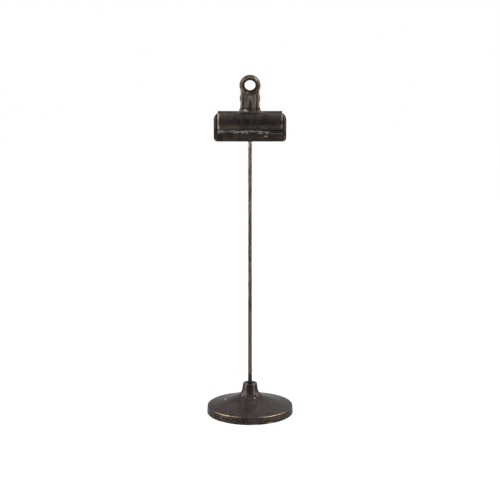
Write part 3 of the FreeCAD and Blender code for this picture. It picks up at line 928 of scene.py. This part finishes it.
def barrel_patina():
    material, g = new_material("barrel_patina")
    uv = g.coords["UV"]
    u, v, _ = g.split(uv)
    ragged = g.noise(uv, 170.0, 4.0, 0.65)
    fine = g.noise(g.stretch(uv, (0.5, 1.0, 1.0)), 520.0, 3.0, 0.6)
    rub = g.times(g.step(fine, 0.52, 0.66), 0.35)
    olive = g.times(g.near(v, 0.0075, 0.0015, 0.0030), g.step(ragged, 0.40, 0.60), 0.7)
    # painted light on the barrel's top in front of the handles, where their shade and reflection fall
    painted_light_patch = g.times(g.near(v, 0.0265, 0.0025, 0.0040), g.step(g.size(u), 0.0120, 0.0085))
    strokes = green_strokes(g, uv, u, v)

    dark, light = g.tint(olive, BARREL_SHEET, BARREL_OLIVE)
    pair = (dark, g.mix(rub, light, BARREL_RUBBED))
    pair = g.tint(painted_light_patch, pair, BARREL_PAINTED_LIGHT)
    pair = g.tint(strokes, pair, BARREL_GREEN)
    crust = g.most(strokes, g.times(painted_light_patch, 0.8))
    patina(g, uv, pair, barrel_wear(g, u, v, ragged), BARREL_WORN, rough=0.36, grain=0.8, edge_tint=0.55,
           crust=crust, speck=0.4)
    return material


barrel = barrel_form()
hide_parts("barrel")
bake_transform(barrel)
barrel.data.materials.append(barrel_patina())


# Small metal pieces kept from the solids
STEEL_MOTTLE = ((0.30, 0.285, 0.26), (0.42, 0.40, 0.37))
BRAZE_MOTTLE = ((0.16, 0.12, 0.09), (0.60, 0.51, 0.45))


def repaint(node, material):
    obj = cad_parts[node]
    obj.data.materials.clear()
    obj.data.materials.append(material)


def fastener_steel():
    material, g = new_material("fastener_steel")
    spin = g.noise(g.obj, 900.0, 3.0, 0.6)
    color = g.mix(g.step(g.noise(g.obj, 240.0, 3.0), 0.4, 0.65), *STEEL_MOTTLE)
    g.surface(color, g.plus(0.26, g.times(spin, 0.2)), 0.9, g.bump(spin, 0.15, 0.0001), 1.0)
    return material


def braze_metal():
    material, g = new_material("braze_metal")
    lumps = g.noise(g.obj, 520.0, 3.0, 0.6)
    color = g.mix(g.step(lumps, 0.40, 0.58), *BRAZE_MOTTLE)
    g.surface(color, 0.40, 0.8, g.bump(lumps, 0.8, 0.0006), 0.8)
    return material


steel = fastener_steel()
repaint("washer", steel)
repaint("nut", steel)
repaint("braze", braze_metal())


# Camera: it looks along +Y and a little down
CAMERA_PLACE = (0.0, -0.95, 0.310)
CAMERA_DOWN = 10.005             # degrees

cam_data = bpy.data.cameras.new("camera")
cam_data.sensor_width = 36.0
cam_data.lens = 82.0
cam_data.clip_start = 0.05
cam_data.clip_end = 20.0
camera = bpy.data.objects.new("camera", cam_data)
scene.collection.objects.link(camera)
camera.location = CAMERA_PLACE
camera.rotation_euler = (math.radians(90 - CAMERA_DOWN), 0.0, 0.0)
scene.camera = camera


# Floor: shaded as a pale floor, and shown white to the camera and in reflections
FLOOR_FRONT = -0.235
FLOOR_SIDE = 3.0
FLOOR_PALE = (0.86, 0.86, 0.86)
FLOOR_FAINT = (0.15, 0.15, 0.15)  # shaded part of its white, which keeps the object's shadow
FLOOR_GLOW = 0.955               # the rest of its white
WHITE = (1.0, 1.0, 1.0)


def shown_white(g, lit, white):
    """The white shader for camera, glossy and transmission rays, the lit one for all others."""
    path = g.node("ShaderNodeLightPath").outputs
    seen = g.most(path["Is Camera Ray"], path["Is Glossy Ray"], path["Is Transmission Ray"])
    pick = g.node("ShaderNodeMixShader", [(0, seen)])
    g.tree.links.new(lit.outputs[0], pick.inputs[1])
    g.tree.links.new(white.outputs[0], pick.inputs[2])
    g.tree.links.new(pick.outputs[0], g.out.inputs["Surface"])


def floor_white():
    material, g = new_material("floor_white")
    lit = g.node("ShaderNodeBsdfDiffuse", [("Color", FLOOR_PALE)])
    faint = g.node("ShaderNodeBsdfDiffuse", [("Color", FLOOR_FAINT)])
    glow = g.node("ShaderNodeEmission", [("Color", WHITE), ("Strength", FLOOR_GLOW)])
    both = g.node("ShaderNodeAddShader")
    g.tree.links.new(faint.outputs[0], both.inputs[0])
    g.tree.links.new(glow.outputs[0], both.inputs[1])
    shown_white(g, lit, both)
    return material


floor_mesh = bpy.data.meshes.new("floor")
corners = [(-FLOOR_SIDE, FLOOR_FRONT, 0), (FLOOR_SIDE, FLOOR_FRONT, 0),
           (FLOOR_SIDE, FLOOR_SIDE, 0), (-FLOOR_SIDE, FLOOR_SIDE, 0)]
floor_mesh.from_pydata(corners, [], [(0, 1, 2, 3)])
floor = new_object("floor", floor_mesh)
floor_mesh.materials.append(floor_white())


# World: plain light for the object, white to the camera, and a room in reflections
ROOM_LEVEL = 0.36                # the room in front of the object; it is white behind and above
PLAIN_LEVEL = 0.35


def studio_world():
    world = bpy.data.worlds.new("studio")
    scene.world = world
    world.use_nodes = True
    g = Graph(world.node_tree, "ShaderNodeOutputWorld")
    _, dy, dz = g.split(g.coords["Generated"])
    bright = g.most(g.step(dy, -0.35, 0.10), g.step(dz, 0.25, 0.75))
    level = g.plus(ROOM_LEVEL, g.times(bright, 1.0 - ROOM_LEVEL))
    level = g.most(level, g.node("ShaderNodeLightPath").outputs["Is Camera Ray"])
    white = g.node("ShaderNodeBackground", [("Color", WHITE), ("Strength", level)])
    plain = g.node("ShaderNodeBackground", [("Color", WHITE), ("Strength", PLAIN_LEVEL)])
    shown_white(g, plain, white)


studio_world()


# Lights: a tall narrow box on each side, one behind each of them, and a soft one above
BOX_WIDTH = 0.14
MIDDLE = (0, 0, 0.16)            # points of the object at which the lamps aim
HIGHER = (0, 0, 0.20)
LOWER = (0, 0, 0.1)


def softbox(name, location, target, width, height, power):
    data = bpy.data.lights.new(name, "AREA")
    data.shape = "RECTANGLE"
    data.size = width
    data.size_y = height
    data.energy = power
    light = bpy.data.objects.new(name, data)
    scene.collection.objects.link(light)
    light.location = location
    aim = Vector(target) - Vector(location)
    light.rotation_euler = aim.to_track_quat("-Z", "Y").to_euler()
    light.visible_camera = False


softbox("left", (-1.05, -0.38, 0.50), MIDDLE, BOX_WIDTH, 1.1, 15.0)
softbox("right", (1.05, -0.55, 0.50), MIDDLE, BOX_WIDTH, 1.1, 12.0)
softbox("left_rim", (-1.05, 0.32, 0.62), HIGHER, BOX_WIDTH, 0.8, 7.0)
softbox("right_rim", (1.05, 0.32, 0.62), HIGHER, BOX_WIDTH, 0.8, 7.5)
softbox("top", (0.0, 0.1, 1.3), LOWER, 1.0, 0.8, 2.4)
